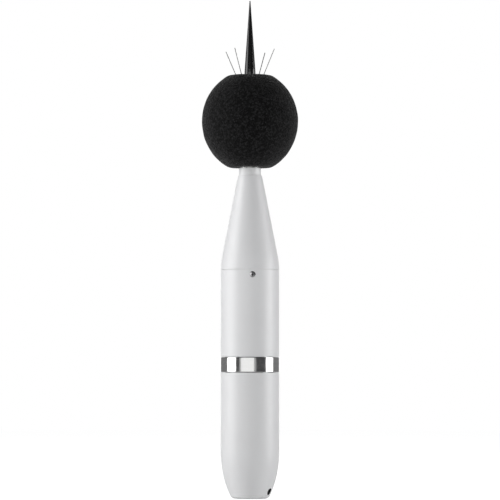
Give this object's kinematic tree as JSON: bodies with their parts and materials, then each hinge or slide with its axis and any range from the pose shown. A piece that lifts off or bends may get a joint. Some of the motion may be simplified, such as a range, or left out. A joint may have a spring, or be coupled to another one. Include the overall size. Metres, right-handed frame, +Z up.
{
  "type": "outdoor sound level measuring unit",
  "caption": "Slim weatherproof sound measuring unit: tapered mast housing, polished locking ring, instrument tube with conical nose, foam windscreen ball and bird spikes.",
  "frame": {"origin": "centre of the mast socket's mouth, in the plane of the base", "axes": "+Z up along the unit to the spike, -Y towards the front case screw"},
  "size_m": [0.09, 0.09, 0.4655],
  "materials": {
    "shell_white": "satin white paint on aluminium",
    "ring_steel": "mirror-polished stainless steel",
    "wire_steel": "drawn stainless wire",
    "stem_steel": "turned stainless steel",
    "alloy": "clear anodised",
    "brass": "turned",
    "black_plastic": "gloss black moulding",
    "black_steel": "black oxide",
    "foam": "open-cell foam",
    "rubber": "matt",
    "ptfe": "turned",
    "board": "solder mask",
    "component": "moulded",
    "capacitor": "sleeved",
    "clear_plastic": "clear moulding",
    "silica_gel": "beads",
    "cable_jacket": "extruded"
  },
  "bodies": {
    "mast_housing": {"lower_housing": "shell_white", "housing_spigot": "alloy", "mast_socket": "alloy", "socket_screw_1": "stem_steel", "socket_screw_2": "stem_steel", "socket_screw_3": "stem_steel"},
    "clamp_pad": {"clamp_pad": "brass"},
    "lock_screw": {"lock_screw": "black_steel"},
    "union_ring": {"union_ring": "ring_steel"},
    "instrument": {"coupling_flange": "alloy", "chassis_plate": "alloy", "chassis_rod_1": "alloy", "chassis_rod_2": "alloy", "chassis_rod_3": "alloy", "shield_can": "alloy", "board_foot_1": "alloy", "board_foot_2": "alloy", "coupling_gasket": "rubber", "nose_seal": "rubber", "cable_socket": "stem_steel", "socket_nut": "stem_steel", "case_screw_1": "stem_steel", "case_screw_2": "stem_steel", "case_screw_3": "stem_steel", "mic_stem": "stem_steel", "preamplifier": "stem_steel", "mic_cartridge": "stem_steel", "mic_diaphragm": "stem_steel", "mic_grid": "stem_steel", "socket_insert": "component", "preamp_plug": "component", "power_converter": "component", "lead_header": "component", "desiccant_canister": "clear_plastic", "desiccant_cap": "black_plastic", "silica_gel": "silica_gel", "upper_tube": "shell_white", "nose_cone": "shell_white", "neck_collar": "shell_white", "insulator_upper": "ptfe", "insulator_lower": "ptfe", "main_board": "board", "capacitor_1": "capacitor", "capacitor_2": "capacitor", "preamp_lead": "cable_jacket"},
    "rain_cover": {"rain_cover": "stem_steel", "actuator_plate": "stem_steel"},
    "windscreen": {"foam_ball": "foam", "windscreen_sleeve": "black_plastic", "spike_hub": "black_plastic", "bird_spike": "black_plastic", "bird_wire_1": "wire_steel", "bird_wire_2": "wire_steel", "bird_wire_3": "wire_steel", "bird_wire_4": "wire_steel"}
  },
  "joints": [
    {"name": "clamp_travel", "type": "slide", "parent": "mast_housing", "child": "clamp_pad", "axis": [0.8387, -0.5446, 0], "range_m": [-0.002, 0.001]},
    {"name": "lock_screw_turn", "type": "hinge", "parent": "clamp_pad", "child": "lock_screw", "pos_m": [0.0109, -0.00708, 0.0068], "axis": [0.8387, -0.5446, 0], "range_deg": [-725, 363]},
    {"name": "instrument_lift", "type": "slide", "parent": "mast_housing", "child": "instrument", "axis": [0, 0, 1], "range_m": [0, 0.08]},
    {"name": "ring_turn", "type": "hinge", "parent": "instrument", "child": "union_ring", "pos_m": [0, 0, 0.1246], "axis": [0, 0, 1], "range_deg": [-50, 0]},
    {"name": "rain_cover_lift", "type": "slide", "parent": "instrument", "child": "rain_cover", "axis": [0, 0, 1], "range_m": [0, 0.03]},
    {"name": "windscreen_lift", "type": "slide", "parent": "rain_cover", "child": "windscreen", "axis": [0, 0, 1], "range_m": [0, 0.1]}
  ],
  "couplings": [
    {"joint": "lock_screw_turn", "follows": "clamp_travel", "rad_per_m": 6283.2}
  ]
}
